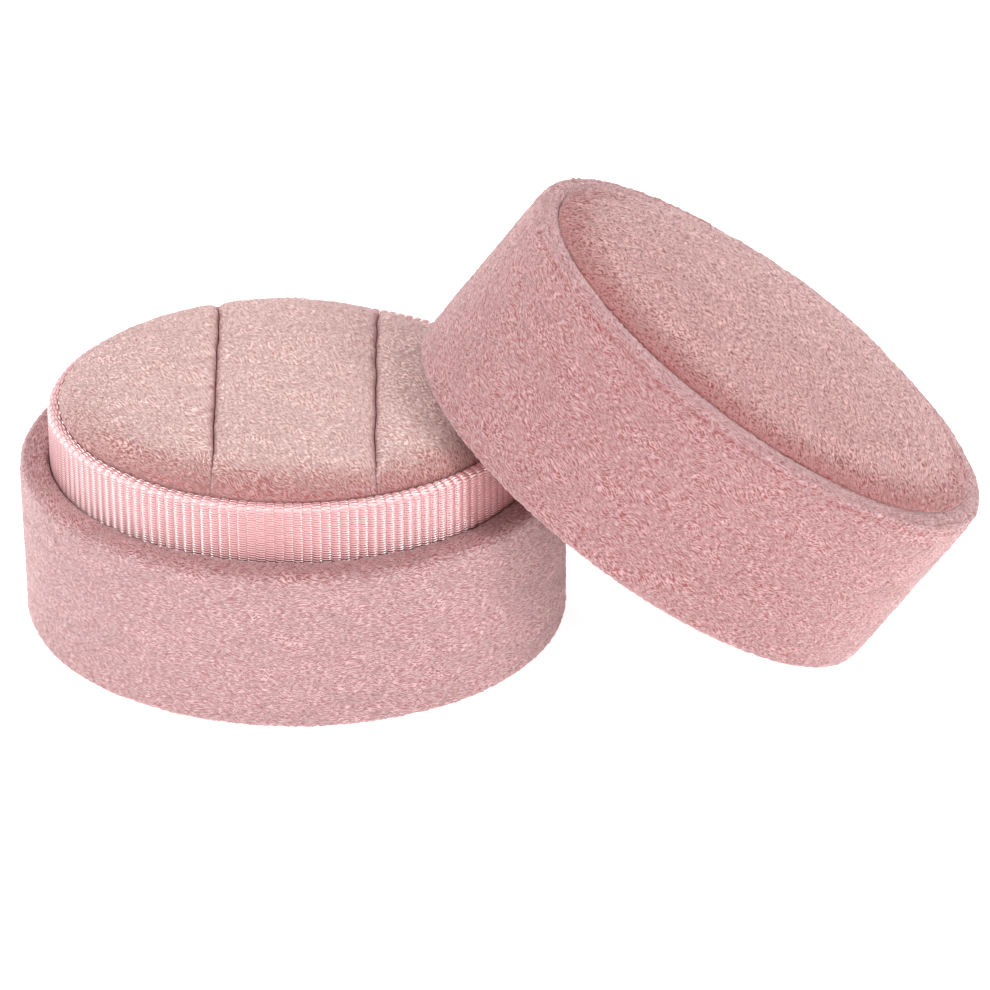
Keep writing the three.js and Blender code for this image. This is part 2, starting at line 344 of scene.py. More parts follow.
def pillow(name, inset, step, surface, side, places=None, skew=0.0, place=None, mirror=False):
    """A closed pad over the oval: a top surface, and (inset, height) loops below its edge.

    surface(along, across, x, y) gives the points and the named values there. places are where the
    lines across the pad lie along it, evenly spread by default. mirror turns the pad upside down.
    """
    length, width = HALF_LENGTH - inset, HALF_WIDTH - inset
    reach = math.hypot(length * math.cos(skew), width * math.sin(skew))
    if places is None:
        places = reach * eased(round(2 * reach / step) + 1)[1:-1]
    rows = round(2 * width / step) + 1
    low, high = chord(places, inset, skew)
    across_share = (eased(rows) + 1) / 2
    along = np.repeat(places[:, None], rows, axis=1)
    over = low[:, None] + (high - low)[:, None] * across_share[None, :]
    ends = [(-reach, chord(-reach, inset, skew)[0]), (reach, chord(reach, inset, skew)[0])]
    along = np.concatenate([along.ravel(), [end[0] for end in ends]])
    over = np.concatenate([over.ravel(), [end[1] for end in ends]])
    x = along * math.cos(skew) - over * math.sin(skew)
    y = along * math.sin(skew) + over * math.cos(skew)
    top, values = surface(along, over, x, y)
    values = {"along": x, "run": y, **values}
    left, right = len(top) - 2, len(top) - 1
    first = np.arange(len(places)) * rows
    last = first + rows - 1
    row = np.arange(rows - 1)
    fans = [
        np.stack([np.full(rows - 1, left), row + 1, row], axis=1),
        np.stack([np.full(rows - 1, right), first[-1] + row, first[-1] + row + 1], axis=1),
    ]
    rim = np.concatenate([[left], first, [right], last[::-1]])
    turn = np.arctan2(y[rim] / width, x[rim] / length)
    loops = []
    for loop, height in side:
        loops.append(np.stack([*outline(loop, turn), np.full(len(rim), height)], axis=1))
    centre = np.array([[0, 0, side[-1][1]]])
    points = np.vstack([top, *loops, centre])
    start = len(top)
    bands = [rim] + [start + i * len(rim) + np.arange(len(rim)) for i in range(len(side))]
    following = np.roll(np.arange(len(rim)), -1)
    below = [np.stack([a[following], a, b, b[following]], axis=1) for a, b in zip(bands, bands[1:])]
    foot = bands[-1]
    floor = np.stack([foot[following], foot, np.full(len(rim), len(points) - 1)], axis=1)
    if mirror:
        points[:, 2] *= -1
    added = len(points) - len(top)
    for label, value in values.items():
        values[label] = np.concatenate([value, np.full(added, value.mean())])
    groups = [grid_faces(len(places), rows), *fans, *below, floor]
    return new_piece(name, points, groups, place, values)


# ---------------------------------------------------------------- walls


def back_seam(points, width=0.5, depth=0.22):
    """The groove where the two ends of a strip of velvet meet, at the middle of the back."""
    away = np.abs(points[..., 0] + 0.25 * noise(points / 6, 31)) / width
    return -depth * np.exp(-away * away) * (points[..., 1] > 0)


def wall_relief(seed, turned, wall_shade, over, pleats=0.0):
    """Velvet glued round a wall: slow unevenness, a short nap and the seam at the back.

    The velvet turns over the wall's top at the distance turned along the section. Below that its colour
    takes painted shade, darker and redder, by the number given before over, and past it by over: shade
    on the lid's wall and the base's ledge, partly where the pile leans. pleats is the height of the
    folds at its foot.
    """

    def relief(angle, run, points):
        nap = tufts(points * np.array([1, 1, 0.75]), 0.95, seed)
        slow = 0.10 * noise(points / 17, seed + 5) + 0.05 * noise(points / 6, seed + 6)
        slow = slow + 0.2 * noise(points / 0.36, seed + 7)
        under = smooth(1.4, 0.5, run)
        folds = pleats * under * np.abs(np.sin(angle * 23 + 2 * np.sin(angle * 5)))
        # away carries painted shade: the velvet darker and redder where it lies in shade, partly where
        # its pile leans.
        away = wall_shade + (over - wall_shade) * smooth(turned - 1.5, turned + 0.3, run)
        return slow + 0.13 * (nap - 0.5) + back_seam(points) + folds, {"tuft": nap, "away": away}

    return relief


def build_base_velvet():
    top = LEDGE_LEVEL
    leg = LEDGE_LEG + VELVET
    shown = rounded(
        [
            (HEM_REACH, HEM_LEVEL, 0),
            (0, HEM_LEVEL, VELVET_ROUND * 0.8),
            (0, top, VELVET_ROUND),
            (leg, top, VELVET_ROUND * 0.6),
            (leg, top - TURN_IN, 0),
        ],
        WALL_STEP,
    )
    inner = HEM_LEVEL + VELVET
    hidden = [
        (LEDGE_LEG, top - TURN_IN),
        (LEDGE_LEG, top - VELVET),
        (VELVET, top - VELVET),
        (VELVET, inner),
        (HEM_REACH, inner),
    ]
    columns = round(perimeter(0) / WALL_STEP)
    # Painted shade on the ledge beside the neck (0.45): darker and redder where the neck shades it.
    relief = wall_relief(1, BASE_WALL_RUN, 0.0, 0.45, pleats=-0.12)
    made = swept("base_velvet", shown, hidden, columns, relief)
    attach(made, "base")
    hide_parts("base_wall_velvet")
    return made


def rim_folds(run, points):
    """The lid's velvet turning over the rim: fold lines that part its pile, and puckers across them.

    Gives how far the cloth stands out, and how far its pile is parted.
    """
    past = run - LID_WALL_RUN
    drift = 0.3 * noise(points / 5, 24)
    lines = sum(np.exp(-(((past - at + drift) / 0.33) ** 2)) for at in (-0.7, 0.9))
    parted = lines * (0.75 + 0.6 * noise(points / 2.4, 25))
    pucker = noise(points * np.array([1, 1, 0.2]) / 0.8, 26) * np.exp(-((past / 1.6) ** 2))
    return 0.14 * pucker - 0.3 * parted, parted


def build_lid_velvet(place):
    leg = LID_LEG + VELVET
    rim = CUSHION_BOTTOM + GAP
    shown = rounded(
        [
            (leg, TURN_IN, 0),
            (leg, 0, VELVET_ROUND * 0.7),
            (0, 0, VELVET_ROUND * 0.7),
            (0, LID_HEIGHT, VELVET_ROUND * 0.8),
            (leg, LID_HEIGHT, VELVET_ROUND * 0.5),
            (leg, rim, 0),
        ],
        LID_WALL_STEP,
    )
    hidden = [
        (LID_LEG, rim),
        (LID_LEG, LID_HEIGHT - VELVET),
        (VELVET, LID_HEIGHT - VELVET),
        (VELVET, VELVET),
        (LID_LEG, VELVET),
        (LID_LEG, TURN_IN),
    ]
    columns = round(perimeter(0) / LID_WALL_STEP)
    # Painted shade over the lid's whole wall (0.38), darker and redder as it lies in shade, and a little
    # on its rim (0.1).
    walls = wall_relief(2, LID_WALL_RUN, 0.38, 0.1)

    def relief(angle, run, points):
        lift, values = walls(angle, run, points)
        folds, parted = rim_folds(run, points)
        # The fold lines also darken as painted shade in their grooves, partly the parted pile's darker
        # roots.
        return lift + folds, {**values, "away": values["away"] + 0.55 * parted}

    made = swept("lid_velvet", shown, hidden, columns, relief, place)
    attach(made, "lid")
    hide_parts("lid_wall_velvet")
    return made


# ---------------------------------------------------------------- neck ribbon


def rib_relief():
    """The ribbon's ribs, rounded with narrow grooves, and the values that its threads need."""

    def relief(angle, run, points):
        column = np.arange(angle.shape[0])[:, None]
        part = (column % RIB_COLUMNS) / RIB_COLUMNS - 0.5
        crest = 1 - np.abs(2 * part) ** 2.3
        slow = 0.05 * noise(points / 11, 41)
        parity = (column // RIB_COLUMNS) % 2
        everywhere = np.ones_like(run)
        # rib is the rib's shape, and also painted shade in the ribbon's colour: darker in the grooves.
        values = {"rib": crest * everywhere, "parity": parity * everywhere}
        return RIB_FOOT + RIB_HEIGHT * crest + slow, values

    return relief


def build_ribbon():
    top = RIBBON_TOP
    leg = RIBBON_INSET + LIP_WIDTH
    shown = rounded(
        [
            (RIBBON_INSET, RIBBON_FOOT, 0),
            (RIBBON_INSET, top, RIBBON_ROUND),
            (leg, top, RIBBON_ROUND),
            (leg, top - TURN_IN, 0),
        ],
        RIBBON_STEP,
    )
    hidden = [
        (leg - RIBBON, top - TURN_IN),
        (leg - RIBBON, top - RIBBON),
        (RIBBON_INSET + RIBBON, top - RIBBON),
        (RIBBON_INSET + RIBBON, RIBBON_FOOT),
    ]
    made = swept("neck_ribbon_band", shown, hidden, RIBS * RIB_COLUMNS, rib_relief())
    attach(made, "base")
    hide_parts("neck_ribbon")
    lap = build_ribbon_lap()
    return made, lap


def build_ribbon_lap():
    """The ribbon's end, laid over its start at the back of the neck."""
    start, end = [math.acos((LAP_CENTRE + side * LAP_WIDTH / 2) / HALF_LENGTH) for side in (1, -1)]
    outer, inner = RIBBON_INSET - 0.45, RIBBON_INSET + LIP_WIDTH - 0.15
    under, over = RIBBON_TOP + 0.2, RIBBON_TOP + 0.5
    foot = LEDGE_LEVEL + GAP
    shown = rounded(
        [
            (outer, foot, 0),
            (outer, over, RIBBON_ROUND),
            (inner, over, 0.5),
            (inner, RIBBON_TOP + 0.05, 0),
        ],
        RIBBON_STEP,
    )
    thin = over - under
    hidden = [
        (inner - thin, RIBBON_TOP + 0.05),
        (inner - thin, under),
        (outer + 0.23, under),
        (outer + 0.23, foot),
    ]
    columns = round(LAP_WIDTH / RIB_PITCH) * RIB_COLUMNS + 1
    made = swept("neck_ribbon_lap", shown, hidden, columns, rib_relief(), span=(start, end))
    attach(made, "base")
    return made


# ---------------------------------------------------------------- stuffed pads


def crown(x, y, inset, edge, rise, flatness):
    """The height of a domed top whose edge lies that far inside the case's outline."""
    out = share_out(x, y, inset)
    return edge + rise * np.sqrt(np.clip(1 - np.clip(out, 0, 1) ** flatness, 0, 1))


def push_out(points, reach, edge, out, start, most):
    """Make the side of a pad bulge outwards by up to most, from start of the way to its edge."""
    bulge = (0.2 + 0.8 * smooth(edge, edge + 1, points[:, 2])) * smooth(start, 1, out)
    points[:, :2] *= 1 + (bulge * most / reach.clip(1))[:, None]


def cloth_place(x, y, drop):
    """Where points lie along a pad's cloth, which runs further where its sides drop."""
    longer = 1 + 0.8 * drop / np.hypot(x, y).clip(1)
    return {"along": x * longer, "run": y * longer}


def blown_up(start, held, most):
    """The upper surface of a piece after its cloth is blown up from inside, as heights by place.

    The cloth is simulated ten times larger than life. held(points) says which points stay put, and
    most is how far a point may move.
    """
    start.scale = (SIM_SCALE,) * 3
    remesh = start.modifiers.new("even", "REMESH")
    remesh.mode = "VOXEL"
    remesh.voxel_size = SIM_VOXEL / SIM_SCALE
    bpy.context.view_layer.update()
    shape = start.evaluated_get(bpy.context.evaluated_depsgraph_get()).to_mesh()
    mesh = bpy.data.meshes.new("cloth")
    count = len(shape.vertices)
    rest = np.zeros(count * 3)
    shape.vertices.foreach_get("co", rest)
    rest = rest.reshape(-1, 3) / MM
    polygons = [list(polygon.vertices) for polygon in shape.polygons]
    mesh.from_pydata((rest * MM * SIM_SCALE).tolist(), [], polygons)
    cloth_piece = bpy.data.objects.new("cloth", mesh)
    bpy.context.scene.collection.objects.link(cloth_piece)
    group = cloth_piece.vertex_groups.new(name="held")
    group.add(np.flatnonzero(held(rest)).tolist(), 1.0, "REPLACE")
    cloth = cloth_piece.modifiers.new("cloth", "CLOTH")
    cloth.settings.quality = 5
    cloth.settings.mass = 0.3
    cloth.settings.tension_stiffness = 12
    cloth.settings.compression_stiffness = 12
    cloth.settings.shear_stiffness = 6
    cloth.settings.bending_stiffness = 0.6
    cloth.settings.vertex_group_mass = "held"
    cloth.settings.use_pressure = True
    cloth.settings.uniform_pressure_force = SIM_PRESSURE
    cloth.settings.effector_weights.gravity = 0
    cloth.collision_settings.use_collision = False
    scene = bpy.context.scene
    for step in range(1, SIM_FRAMES + 1):
        scene.frame_set(step)
    blown = cloth_piece.evaluated_get(bpy.context.evaluated_depsgraph_get()).to_mesh()
    after = np.zeros(count * 3)
    blown.vertices.foreach_get("co", after)
    moved = after.reshape(-1, 3) / MM / SIM_SCALE - rest
    length = np.linalg.norm(moved, axis=1)[:, None]
    moved *= np.minimum(1, most / np.maximum(length, 1e-9))
    scene.frame_set(1)
    cloth_piece.modifiers.remove(cloth)
    mesh.vertices.foreach_set("co", (rest + moved).ravel())
    mesh.update()
    cloth_piece.modifiers.new("rounder", "SUBSURF").levels = 2
    bpy.context.view_layer.update()
    fine = cloth_piece.evaluated_get(bpy.context.evaluated_depsgraph_get()).to_mesh()
    tree = BVHTree.FromPolygons(
        [vertex.co.copy() for vertex in fine.vertices],
        [list(polygon.vertices) for polygon in fine.polygons],
    )
    for used in (start, cloth_piece):
        bpy.data.objects.remove(used)
    down = Vector((0, 0, -1))

    def height(x, y, fallback):
        found = np.array(fallback, float)
        for i, (px, py) in enumerate(zip(x, y)):
            hit = tree.ray_cast(Vector((px, py, 100)), down, 90)[0]
            if hit is not None:
                found[i] = hit.z
        return found

    return height


# ---------------------------------------------------------------- ring pad


PAD_EDGE = RIBBON_TOP - PAD_EDGE_DROP
SLOTS = [SLOT_OFFSET + side * SLOT_SPACING / 2 for side in (-1, 1)]


def slot_distance(along):
    """The distance from the nearest slot, along the pad."""
    return np.min([np.abs(along - slot) for slot in SLOTS], axis=0)


def pad_crown(x, y):
    """The pad's plump top, which the lid keeps lower towards the right."""
    lid_side = smooth(-4, 15, x)
    rise = PAD_TOP + PAD_PUFF * (1 - lid_side) - PAD_EDGE
    flatness = PAD_CROWN_FLATNESS - 3 * lid_side
    return crown(x, y, PAD_INSET, PAD_EDGE, rise, flatness)


def pad_side():
    """Loops down the pad's side and in under it, over the card."""
    heights = np.arange(PAD_EDGE - 0.25, PAD_BOTTOM, -SIDE_STEP)
    side = [(PAD_INSET, height) for height in heights]
    side += [(PAD_INSET + 0.1, PAD_BOTTOM), (PAD_INSET + VELVET, PAD_BOTTOM)]
    return side + [(PAD_INSET + VELVET, CARD_TOP + GAP), (PAD_INSET + 3, CARD_TOP + GAP)]


def puffed_pad():
    """The pad's top as the cloth over it finds it, between its rim and its two slots."""
    groove, width, slack = 0.9, 0.8, 0.5

    def rough(along, over, x, y):
        z = pad_crown(x, y) - slack * smooth(PAD_EDGE, PAD_EDGE + 2, pad_crown(x, y))
        z -= groove * np.exp(-((slot_distance(along) / width) ** 2))
        return np.stack([x, y, np.maximum(z, PAD_EDGE - 1)], axis=1), {}

    start = pillow("start", PAD_INSET, 0.7, rough, pad_side(), skew=SLOT_SKEW)

    def held(points):
        along = points[:, 0] * math.cos(SLOT_SKEW) + points[:, 1] * math.sin(SLOT_SKEW)
        return (points[:, 2] < PAD_EDGE - 0.3) | (slot_distance(along) < 0.45)

    return blown_up(start, held, most=1.6)


def pad_places():
    """Where the lines across the pad lie: evenly, and doubled down the walls of each slot."""
    length, width = HALF_LENGTH - PAD_INSET, HALF_WIDTH - PAD_INSET
    reach = math.hypot(length * math.cos(SLOT_SKEW), width * math.sin(SLOT_SKEW))
    even = reach * eased(round(2 * reach / PAD_STEP) + 1)[1:-1]
    even = even[slot_distance(even) > SLIT_HALF_WIDTH * SLIT_EDGE + PAD_STEP / 3]
    lines = [side * share for side in (-1, 1) for share, _ in SLIT_LINES]
    walls = [slot + SLIT_HALF_WIDTH * line for slot in SLOTS for line in lines]
    return np.sort(np.concatenate([even, walls]))


def near_slits(along, over):
    """The slot nearest to each point, how far away it is, and how open its slit is there."""
    nearest = np.argmin([np.abs(along - slot) for slot in SLOTS], axis=0)
    slot = np.array(SLOTS)[nearest]
    low, high = chord(slot, PAD_INSET, SLOT_SKEW)
    opened = smooth(0, 7, over - low - SLIT_END_MARGIN) * smooth(0, 3, high - over - SLIT_END_MARGIN)
    return slot, along - slot, opened


def slit_depth(away, opened):
    """How far down the cloth goes inside a slit."""
    share = np.abs(away) / SLIT_HALF_WIDTH
    depth = np.interp(share, [line[0] for line in SLIT_LINES], [line[1] for line in SLIT_LINES])
    return np.where(share < SLIT_EDGE, depth * (SLOT_DEPTH * opened + 0.5), 0)


def slit_shift(slot, over, away, opened):
    """How far the cloth moves along the pad: a slit wanders a little, and narrows as it closes."""
    wander = 0.16 * noise(np.stack([slot, over / 3.1, 0 * over], axis=1), 51)
    wander = wander + 0.08 * noise(np.stack([slot, over / 0.8, 0 * over], axis=1), 52)
    inside = np.abs(away) / SLIT_HALF_WIDTH < SLIT_EDGE + 0.1
    narrower = np.where(inside, 0.55 * (opened - 1), 0) * away
    return wander * np.exp(-((away / 2.5) ** 2)) + narrower


def build_ring_pad():
    height = puffed_pad()

    def surface(along, over, x, y):
        z = pad_crown(x, y)
        if height is not None:
            found = height(x, y, z - 1.0)
            inside = smooth(0, 1.0, z - PAD_EDGE)
            z = z + (found - z - np.percentile(found - z, 75)) * inside * 0.6
        else:
            z = z - 0.5 * np.exp(-((slot_distance(along) / 1.2) ** 2))
        slot, away, opened = near_slits(along, over)
        down = slit_depth(away, opened)
        shift = slit_shift(slot, over, away, opened)
        place = np.stack([x + shift * math.cos(SLOT_SKEW), y + shift * math.sin(SLOT_SKEW), z], axis=1)
        out = share_out(x, y, PAD_INSET)
        overhang = PAD_OVERHANG * (0.35 + 0.65 * smooth(20, 8, x))
        push_out(place, np.hypot(x, y), PAD_EDGE, out, 0.8, overhang)
        nap = tufts(place * np.array([1, 1, 0.6]), 0.62, 61)
        slow = 0.09 * noise(place / 9, 62) + 0.04 * noise(place / 3.5, 63)
        slow = slow + 0.12 * noise(place / 0.4, 64)
        rest = smooth(0, 0.8, z - PAD_EDGE)
        place[:, 2] += (0.12 * (nap - 0.5) + slow) * rest * (down < 0.3)
        place[:, 2] -= 0.6 * np.exp(-((away / 0.42) ** 2)) * (0.6 + 0.4 * opened) + down
        # Painted shade through "away": the roll facing the camera, the crease against the ribbon and the
        # slits' edges darker and redder, partly where the pile leans.
        front_shade = smooth(0.78, 1, out) * smooth(0.2, -0.9, y / (HALF_WIDTH - PAD_INSET))
        edge = front_shade + 0.3 * smooth(0.95, 1, out)
        slit_shade = 1.1 * np.exp(-((away / 0.38) ** 2)) * (0.55 + 0.45 * opened)
        shown = down < 0.5
        values = {"tuft": nap * shown, "away": np.maximum(edge, slit_shade) * shown}
        return place, {**values, **cloth_place(x, y, PAD_TOP + PAD_PUFF - z)}

    made = pillow(
        "ring_pad", PAD_INSET, PAD_STEP, surface, pad_side(), places=pad_places(), skew=SLOT_SKEW
    )
    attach(made, "base")
    blocks = [f"ring_pad_foam_{side}" for side in ("left", "middle", "right")]
    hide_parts("ring_pad_velvet", *blocks)
    return made


# ---------------------------------------------------------------- lid cushion


def cushion_crown(x, y, rise=CUSHION_RISE):
    return crown(x, y, CUSHION_INSET, CUSHION_EDGE, rise, 2.5)


def cushion_side():
    """Loops down the cushion's side and in under it, over its card."""
    heights = np.arange(CUSHION_EDGE - 0.3, CUSHION_BOTTOM, -SIDE_STEP)
    side = [(CUSHION_INSET, height) for height in heights]
    card_top = CUSHION_BOTTOM + CARD + GAP
    inner = CUSHION_INSET + VELVET
    side += [(CUSHION_INSET, CUSHION_BOTTOM), (inner, CUSHION_BOTTOM)]
    return side + [(inner, card_top), (12, card_top)]


def puffed_cushion():
    """The cushion's dome as the cloth over it finds it, held round its rim."""

    def rough(along, over, x, y):
        return np.stack([x, y, cushion_crown(x, y, CUSHION_RISE - 0.9)], axis=1), {}

    start = pillow("start", CUSHION_INSET, 0.8, rough, cushion_side())
    return blown_up(start, lambda points: points[:, 2] < CUSHION_EDGE + 0.3, most=1.4)


def build_cushion(place):
    height = puffed_cushion()

    def surface(along, over, x, y):
        z = cushion_crown(x, y)
        if height is not None:
            found = height(x, y, z)
            found = CUSHION_EDGE + (found - CUSHION_EDGE) * CUSHION_RISE / (found.max() - CUSHION_EDGE)
            z = z + (found - z) * smooth(0, 2.5, z - CUSHION_EDGE) * 0.7
        at = np.stack([x, y, z], axis=1)
        out = share_out(x, y, CUSHION_INSET)
        push_out(at, np.hypot(x, y), CUSHION_EDGE, out, 0.85, CUSHION_OVERHANG)
        nap = tufts(at, 0.8, 71)
        slow = 0.12 * noise(at / 10, 72) + 0.05 * noise(at / 4, 73)
        slow = slow + 0.24 * noise(at / 0.45, 74)
        rest = smooth(0, 1.2, z - CUSHION_EDGE)
        at[:, 2] += (0.17 * (nap - 0.5) + slow) * rest
        # Painted shade: the dome darker and redder towards the crease at its seam with the rim, through
        # "away".
        values = {"tuft": nap, "away": 1.5 * smooth(0.84, 1.01, out)}
        return at, {**values, **cloth_place(x, y, CUSHION_EDGE + CUSHION_RISE - z)}

    made = pillow("lid_cushion", CUSHION_INSET, PAD_STEP * 1.1, surface, cushion_side(), place=place)
    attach(made, "lid")
    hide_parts("lid_cushion_velvet", "lid_cushion_foam")
    return made


# ---------------------------------------------------------------- linings, cover and foam


def build_lining_wall(place):
    inner = LID_LEG + LINING
    low, high = TURN_IN + GAP, CEILING_LEVEL - GAP
    shown = rounded([(inner, high, 0), (inner, low, 0)], LINING_STEP)

    def relief(angle, run, points):
        nap = tufts(points, 1.0, 81)
        slow = 0.06 * noise(points / 8, 82)
        return slow + 0.08 * (nap - 0.5) - back_seam(points, 0.4, -0.1), {"tuft": nap}

    columns = round(perimeter(inner) / LINING_STEP)
    made = swept("lid_lining", shown, [(LID_LEG, low), (LID_LEG, high)], columns, relief, place)
    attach(made, "lid")
    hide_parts("lid_lining_wall")
    return made


def flat_sheet(name, inset, level, thickness, seed, place=None):
    """A sheet whose napped side faces down, at that level."""

    def surface(along, over, x, y):
        at = np.stack([x, y, np.full(len(x), -level)], axis=1)
        nap = tufts(at, 0.9, seed)
        edge = smooth(0, 1.2, (1 - share_out(x, y, inset)) * 20)
        slow = 0.05 * noise(at / 9, seed + 1) - 0.06
        at[:, 2] += (0.07 * (nap - 0.5) + slow) * edge - 0.2 * (1 - edge)
        return at, {"tuft": nap}

    side = [(inset - 0.02, -level - 0.3), (inset, -level - thickness)]
    return pillow(name, inset, 0.36 * FINE, surface, side, place=place, mirror=True)


def build_ceiling(place):
    made = flat_sheet("lid_ceiling", LID_LEG + 0.1, CEILING_LEVEL, LINING, 91, place)
    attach(made, "lid")
    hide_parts("lid_lining_top")
    return made


def build_bottom_cover():
    made = flat_sheet("bottom_cover", COVER_INSET, 0.0, COVER_TOP, 95)
    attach(made, "base")
    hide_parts("base_bottom_cover")
    return made


def build_riser_foam():
    """The plain foam block under the ring pad, cut with a hot wire."""

    def surface(along, over, x, y):
        at = np.stack([x, y, np.full(len(x), RISER_TOP)], axis=1)
        at[:, 2] -= 0.08 * (1 + noise(at / 2.2, 98))
        return at, {}

    side = [(RISER_INSET, height) for height in np.linspace(RISER_TOP - 0.5, RISER_BOTTOM, 12)]
    made = pillow("riser_foam", RISER_INSET, 0.9, surface, side + [(RISER_INSET + 2, RISER_BOTTOM)])
    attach(made, "base")
    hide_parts("pad_riser_block")
    return made


# ---------------------------------------------------------------- materials


def rgb(red, green, blue):
    """A colour given as display values from 0 to 255."""
    def linear(value):
        share = value / 255
        return share / 12.92 if share <= 0.04045 else ((share + 0.055) / 1.055) ** 2.4

    return linear(red), linear(green), linear(blue), 1.0


def add(tree, kind, inputs=None, **settings):
    """A shader node with its settings made and its inputs filled in or linked."""
    made = tree.nodes.new("ShaderNode" + kind)
    for label, value in settings.items():
        setattr(made, label, value)
    for label, value in (inputs or {}).items():
        if isinstance(value, bpy.types.NodeSocket):
            tree.links.new(value, made.inputs[label])
        else:
            made.inputs[label].default_value = value
    return made


def new_material(name):
    material = bpy.data.materials.new(name)
    material.use_nodes = True
    material.node_tree.nodes.clear()
    return material, material.node_tree


def finish_material(material, tree, shader):
    add(tree, "OutputMaterial", {"Surface": shader.outputs[0]})
    return material


def grain(tree, size, detail=3.0, rough=0.6, bend=0.0, stretch=(1, 1, 1), turn=(0, 0, 0)):
    """Noise through the object, with features of about size millimetres, stretched along turned axes."""
    coordinates = add(tree, "TexCoord").outputs["Object"]
    scale = tuple(MM * size * share for share in stretch)
    inputs = {"Vector": coordinates, "Rotation": turn, "Scale": scale}
    mapped = add(tree, "Mapping", inputs, vector_type="TEXTURE").outputs[0]
    inputs = {"Vector": mapped, "Scale": 1.0, "Detail": detail, "Roughness": rough, "Distortion": bend}
    return add(tree, "TexNoise", inputs).outputs["Fac"]


def strands(tree, width, length, turn, bend=0.2, wander=0.6):
    """Noise along the cloth itself: strands that lie one way, and drift as the pile is brushed."""
    coordinates = add(tree, "TexCoord").outputs["Object"]
    drift = add(tree, "TexNoise", {"Vector": coordinates, "Scale": 1 / (5 * MM), "Detail": 1.0})
    place = add(tree, "CombineXYZ", {"X": attribute(tree, "along"), "Y": attribute(tree, "run")})
    inputs = {0: drift.outputs["Color"], 1: (wander * 5, wander * 5, 0), 2: place.outputs[0]}
    bent = add(tree, "VectorMath", inputs, operation="MULTIPLY_ADD").outputs[0]
    inputs = {"Vector": bent, "Rotation": (0, 0, turn), "Scale": (length, width, 1)}
    mapped = add(tree, "Mapping", inputs, vector_type="TEXTURE").outputs[0]
    inputs = {"Vector": mapped, "Scale": 1.0, "Detail": 0.6, "Roughness": 0.4, "Distortion": bend}
    return add(tree, "TexNoise", inputs).outputs["Fac"]


def mixed(tree, share, low, high):
    """A mix of two colours by a share from 0 to 1."""
    made = add(tree, "Mix", {"Factor": share}, data_type="RGBA")
    for socket, value in zip([s for s in made.inputs if s.type == "RGBA"], (low, high)):
        if isinstance(value, bpy.types.NodeSocket):
            tree.links.new(value, socket)
        else:
            socket.default_value = value
    return next(s for s in made.outputs if s.type == "RGBA")


def ranged(tree, value, low, high, start=0.0, end=1.0):
    inputs = {"Value": value, "From Min": low, "From Max": high, "To Min": start, "To Max": end}
    return add(tree, "MapRange", inputs).outputs[0]


def summed(tree, *parts):
    """A sum of (value, weight) pairs."""
    total = 0.0
    for value, weight in parts:
        total = add(tree, "Math", {0: value, 1: weight, 2: total}, operation="MULTIPLY_ADD").outputs[0]
    return total


def attribute(tree, name):
    return add(tree, "Attribute", attribute_name=name).outputs["Fac"]


# The deep red of painted shade: shade and light bounced within the pile in creases and recesses, partly
# the pile's darker roots.
PAINTED_SHADE_RED = rgb(160, 64, 65)

# The strands' noise: its middle value, and how far it lies to each side at a contrast of 1.
PILE_MIDDLE = 0.565
PILE_SPAN = 0.09


def velvet(name, deep, tip, width=0.12, length=0.8, turn=0.0, sheen=0.95, bump=1.0, contrast=1.0):
    """Short-pile velvet: fine strands lying one way, tufts, and patches where the pile leans.

    Where the piece's "away" value is above 0, its colour is darker and redder: painted shade for creases
    and recesses, partly where the pile leans and shows its roots.
    """
    material, tree = new_material(name)
    first = strands(tree, width, length, turn)
    second = strands(tree, width * 0.9, length * 0.8, turn + 0.45, bend=0.35)
    pile = add(tree, "Math", {0: first, 1: second}, operation="MAXIMUM").outputs[0]
    patches = grain(tree, 6.0, detail=3.0, bend=0.8)
    tuft = attribute(tree, "tuft")
    speckle = grain(tree, 0.1, detail=1.0)
    span = PILE_SPAN / contrast
    strand = ranged(tree, pile, PILE_MIDDLE - span, PILE_MIDDLE + span)
    # away is painted shade: it darkens the colour and mixes in the deep red of shade and light bounced
    # within the pile.
    away = attribute(tree, "away")
    parts = (strand, 0.93), (tuft, 0.12), (patches, 0.12), (speckle, 0.9), (away, -0.48)
    colour = mixed(tree, ranged(tree, summed(tree, *parts), 0.28, 1.48), deep, tip)
    colour = mixed(tree, ranged(tree, away, 0, 1.5, 0, 0.5), colour, PAINTED_SHADE_RED)
    height = summed(tree, (strand, 0.8), (tuft, 0.2))
    relief = add(tree, "Bump", {"Height": height, "Strength": bump, "Distance": 0.15 * MM})
    shader = add(
        tree,
        "BsdfPrincipled",
        {
            "Base Color": colour,
            "Roughness": ranged(tree, strand, 0, 1, 0.95, 0.42),
            "Specular IOR Level": 0.5,
            "Sheen Weight": sheen,
            "Sheen Roughness": 0.5,
            "Sheen Tint": rgb(255, 222, 221),
            "Normal": relief.outputs[0],
        },
    )
    return finish_material(material, tree, shader)


